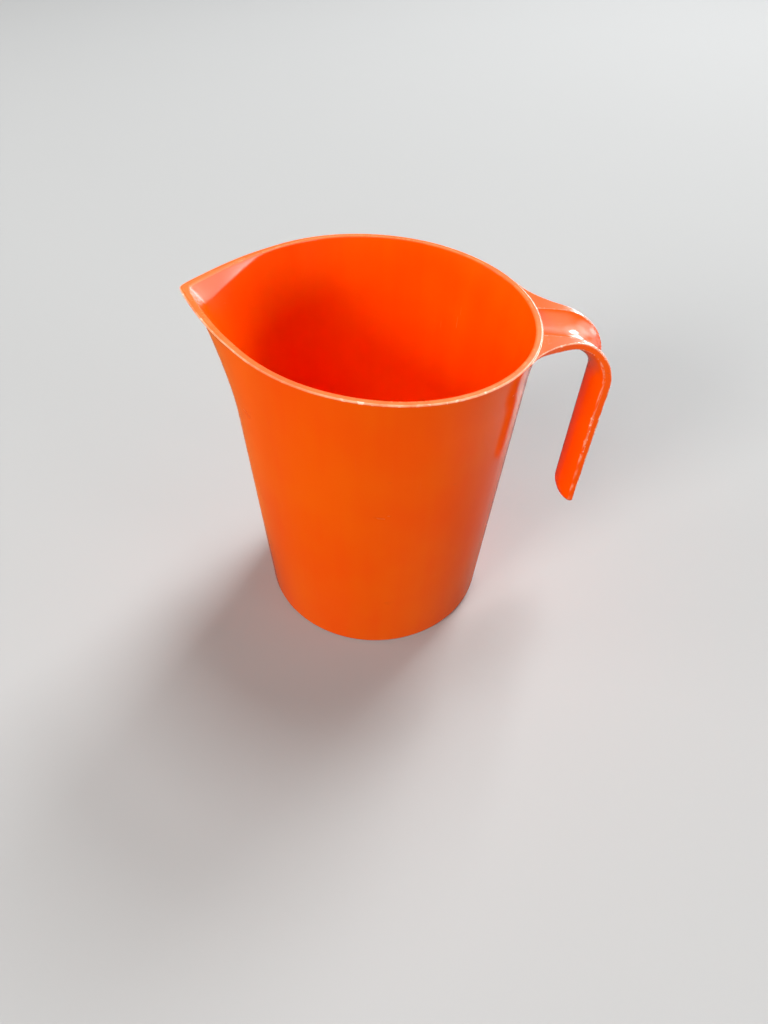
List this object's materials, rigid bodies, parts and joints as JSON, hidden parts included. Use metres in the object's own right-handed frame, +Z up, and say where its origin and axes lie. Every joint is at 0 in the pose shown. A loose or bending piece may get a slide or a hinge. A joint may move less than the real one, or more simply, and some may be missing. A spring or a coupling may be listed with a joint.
{
  "type": "pouring jug",
  "caption": "One-piece moulded plastic pouring jug with a pointed spout drawn out of its rim and an open hook handle moulded on the opposite side.",
  "frame": {"origin": "centre of the round underside, on the plane the jug rests on", "axes": "+Z up along the axis of the round body; +X from the axis toward the handle, so the spout points along -X; +Y completes the frame, across the jug"},
  "size_m": [0.1232, 0.0894, 0.1132],
  "materials": {
    "orange_polypropylene": "satin-gloss injection-moulded polypropylene, bright orange"
  },
  "bodies": {
    "root": {"jug": "orange_polypropylene"}
  },
  "joints": []
}
